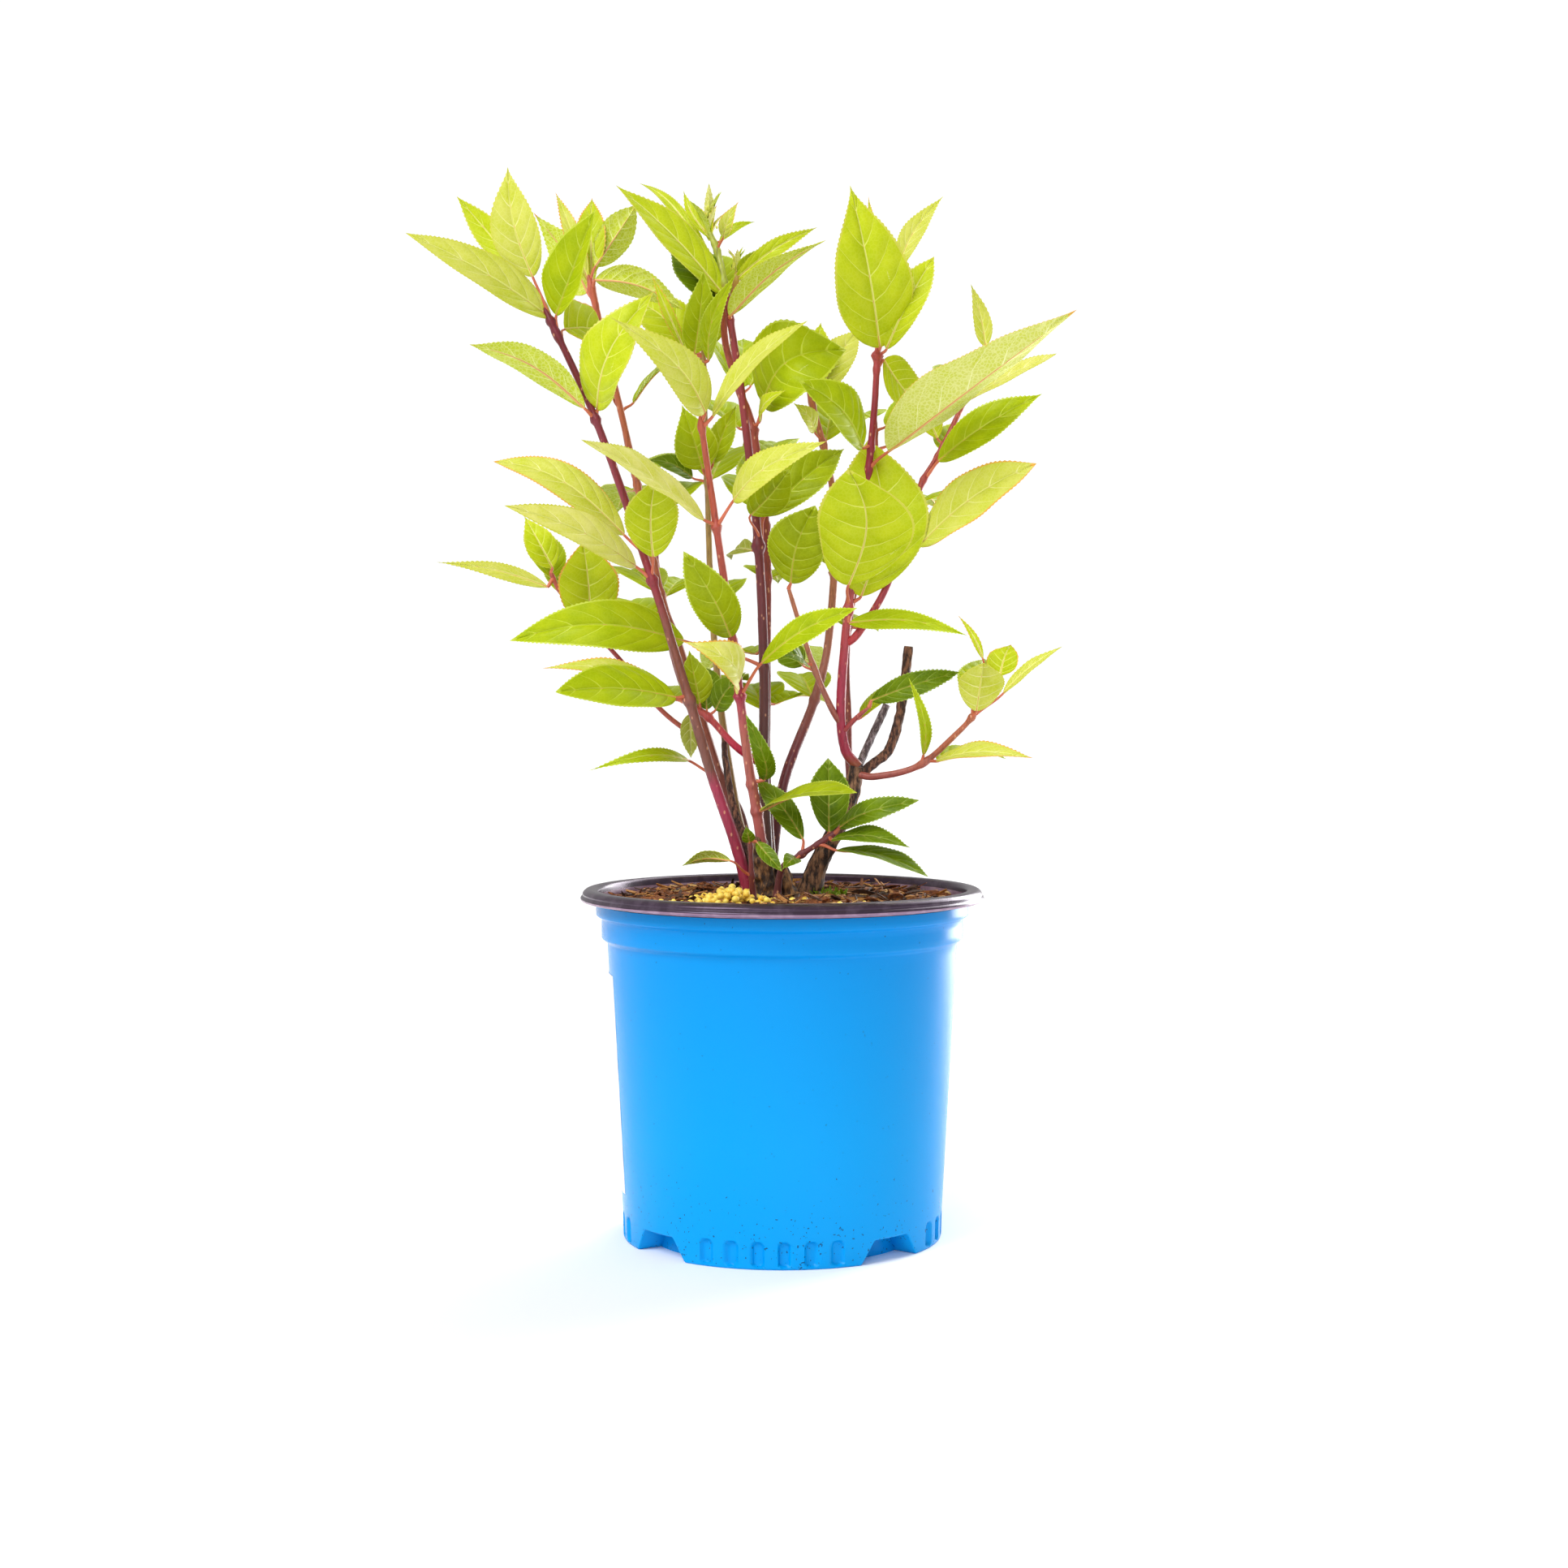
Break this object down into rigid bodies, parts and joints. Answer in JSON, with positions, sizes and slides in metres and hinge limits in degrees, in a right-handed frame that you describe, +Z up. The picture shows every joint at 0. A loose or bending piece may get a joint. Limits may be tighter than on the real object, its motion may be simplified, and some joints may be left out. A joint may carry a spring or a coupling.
{
  "type": "hydrangea shrub in nursery pot",
  "caption": "Young leafy shrub of upright red-brown canes with serrate green leaves, standing in a round blue nursery pot with a black rim.",
  "frame": {"origin": "middle of the pot's flat underside, on the floor", "axes": "+Z up, the front of the shrub towards -Y, +X to the right seen from the front"},
  "size_m": [0.3469, 0.2962, 0.5861],
  "materials": {
    "pot_blue": "glossy moulded blue plastic",
    "pot_black": "satin black plastic",
    "label_white": "plain white coated paper label",
    "compost": "moist shredded bark compost",
    "old_bark": "rough dark old bark",
    "cane_bark": "smooth red-brown young bark",
    "leaf": "satin fresh green leaf"
  },
  "bodies": {
    "root": {"cane_back_olive": "cane_bark", "cane_back_right": "cane_bark", "cane_centre_bud": "cane_bark", "cane_centre_front": "cane_bark", "cane_centre_second": "cane_bark", "cane_left_back": "cane_bark", "cane_left_front": "cane_bark", "cane_left_inner": "cane_bark", "cane_left_thin": "cane_bark", "cane_low_front": "cane_bark", "cane_low_left": "cane_bark", "cane_rear_centre": "cane_bark", "cane_rear_left": "cane_bark", "cane_rear_right": "cane_bark", "cane_right_centre": "cane_bark", "cane_right_inner": "cane_bark", "cane_right_knot": "cane_bark", "cane_right_low": "cane_bark", "cane_right_side": "cane_bark", "foliage_back_olive": "leaf", "foliage_back_right": "leaf", "foliage_centre_bud": "leaf", "foliage_centre_front": "leaf", "foliage_centre_second": "leaf", "foliage_left_back": "leaf", "foliage_left_front": "leaf", "foliage_left_inner": "leaf", "foliage_left_thin": "leaf", "foliage_low_front": "leaf", "foliage_low_left": "leaf", "foliage_rear_centre": "leaf", "foliage_rear_left": "leaf", "foliage_rear_right": "leaf", "foliage_right_centre": "leaf", "foliage_right_inner": "leaf", "foliage_right_knot": "leaf", "foliage_right_low": "leaf", "foliage_right_side": "leaf", "label": "label_white", "pot_body": "pot_blue", "pot_rim": "pot_black", "snag_left": "cane_bark", "soil": "compost", "trunk_right": "old_bark"}
  },
  "joints": []
}
